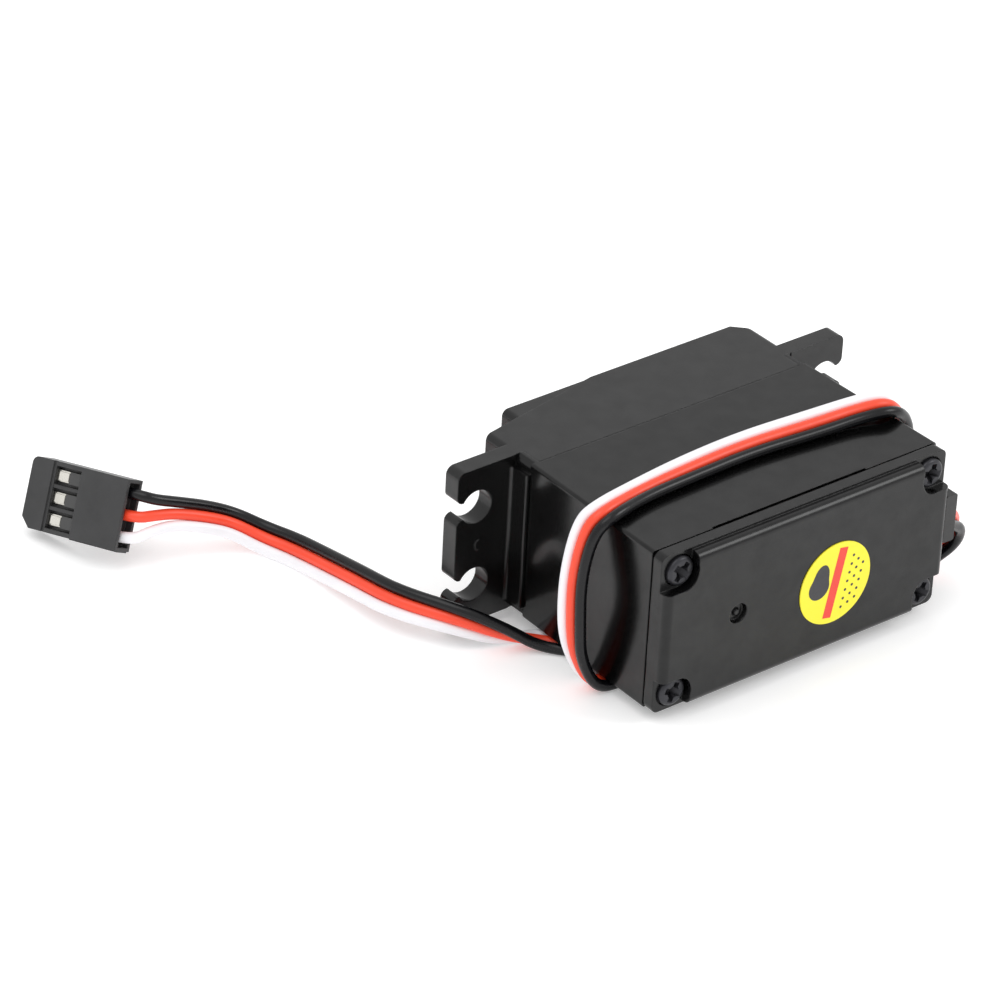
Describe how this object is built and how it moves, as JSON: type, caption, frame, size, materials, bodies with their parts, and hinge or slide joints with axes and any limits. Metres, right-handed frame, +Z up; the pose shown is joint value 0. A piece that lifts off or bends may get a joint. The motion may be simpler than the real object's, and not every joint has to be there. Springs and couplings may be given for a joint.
{
  "type": "servo motor",
  "caption": "Standard-size servo motor with a slotted mounting flange, a splined output shaft and a three-wire lead wound round its case to a plug.",
  "frame": {"origin": "centre of the four mounting slots, on the underside of the flange", "axes": "+X along the case towards the end where the lead leaves, +Y along the output shaft out of the case, +Z up across the case, which lies on its long side"},
  "size_m": [0.0826, 0.0747, 0.0238],
  "materials": {
    "case_black": "fine moulded texture",
    "case_shell": "smooth moulded",
    "cover_black": "fine moulded texture",
    "screw_steel": "black oxide",
    "label_yellow": "printed film",
    "seal_rubber": "soft",
    "relief_rubber": "soft",
    "output_steel": "machined",
    "bush_bronze": "sintered",
    "pin_steel": "ground",
    "gear_steel": "machined",
    "gear_brass": "machined",
    "motor_steel": "plated",
    "motor_cap_plastic": "moulded",
    "contact_metal": "tin plated",
    "magnet": "sintered",
    "core_iron": "stamped",
    "copper": "enamelled wire",
    "pot_case": "moulded",
    "pot_inner": "moulded",
    "pot_carbon": "carbon film",
    "board_green": "solder mask",
    "chip_black": "moulded",
    "chip_tan": "ceramic",
    "can_silver": "drawn",
    "wire_black_pvc": "satin insulation",
    "wire_red_pvc": "satin insulation",
    "wire_white_pvc": "satin insulation",
    "plug_black": "moulded",
    "plug_latch": "moulded"
  },
  "bodies": {
    "case": {"top_case": "case_black", "mid_case": "case_shell", "bottom_cover": "cover_black", "case_screws": "screw_steel", "cover_label": "label_yellow", "bottom_gasket": "seal_rubber", "top_gasket": "seal_rubber", "shaft_seal": "seal_rubber", "strain_relief": "relief_rubber", "output_bush": "bush_bronze", "motor_bush": "bush_bronze", "idler_pin": "pin_steel", "motor_can": "motor_steel", "motor_screws": "motor_steel", "motor_end_cap": "motor_cap_plastic", "motor_terminals": "contact_metal", "motor_brushes": "contact_metal", "pot_legs": "contact_metal", "plug_contacts": "contact_metal", "motor_magnets": "magnet", "pot_body": "pot_case", "pot_track": "pot_carbon", "circuit_board": "board_green", "control_chip": "chip_black", "driver_transistors": "chip_black", "board_components": "chip_tan", "buffer_capacitor": "can_silver", "wire_black": "wire_black_pvc", "wire_red": "wire_red_pvc", "wire_white": "wire_white_pvc", "lead_tails": "wire_white_pvc", "plug_housing": "plug_black", "plug_latches": "plug_latch"},
    "output": {"output_gear": "output_steel", "pot_shaft": "pot_inner", "pot_wiper": "pot_inner"},
    "third_gear": {"third_gear": "gear_steel"},
    "second_gear": {"second_gear": "gear_steel"},
    "first_gear": {"first_gear": "gear_brass"},
    "rotor": {"motor_shaft": "pin_steel", "motor_pinion": "gear_brass", "rotor_core": "core_iron", "rotor_windings": "copper", "commutator": "copper"}
  },
  "joints": [
    {"name": "output_turn", "type": "hinge", "parent": "case", "child": "output", "pos_m": [0.01, 0, 0], "axis": [0, 1, 0], "range_deg": [-90, 90]},
    {"name": "third_turn", "type": "hinge", "parent": "case", "child": "third_gear", "pos_m": [0, 0, 0], "axis": [0, 1, 0], "range_deg": [-270.5, 270.5]},
    {"name": "second_turn", "type": "hinge", "parent": "case", "child": "second_gear", "pos_m": [0.01, 0, 0], "axis": [0, 1, 0], "range_deg": [-631, 631]},
    {"name": "first_turn", "type": "hinge", "parent": "case", "child": "first_gear", "pos_m": [0, 0, 0], "axis": [0, 1, 0], "range_deg": [-1996, 1996]},
    {"name": "rotor_turn", "type": "hinge", "parent": "case", "child": "rotor", "pos_m": [-0.009, 0, 0], "axis": [0, 1, 0], "range_deg": [-9980, 9980]}
  ],
  "couplings": [
    {"joint": "third_turn", "follows": "output_turn", "ratio": -3},
    {"joint": "second_turn", "follows": "output_turn", "ratio": 7},
    {"joint": "first_turn", "follows": "output_turn", "ratio": -22.167},
    {"joint": "rotor_turn", "follows": "output_turn", "ratio": 110.83}
  ]
}
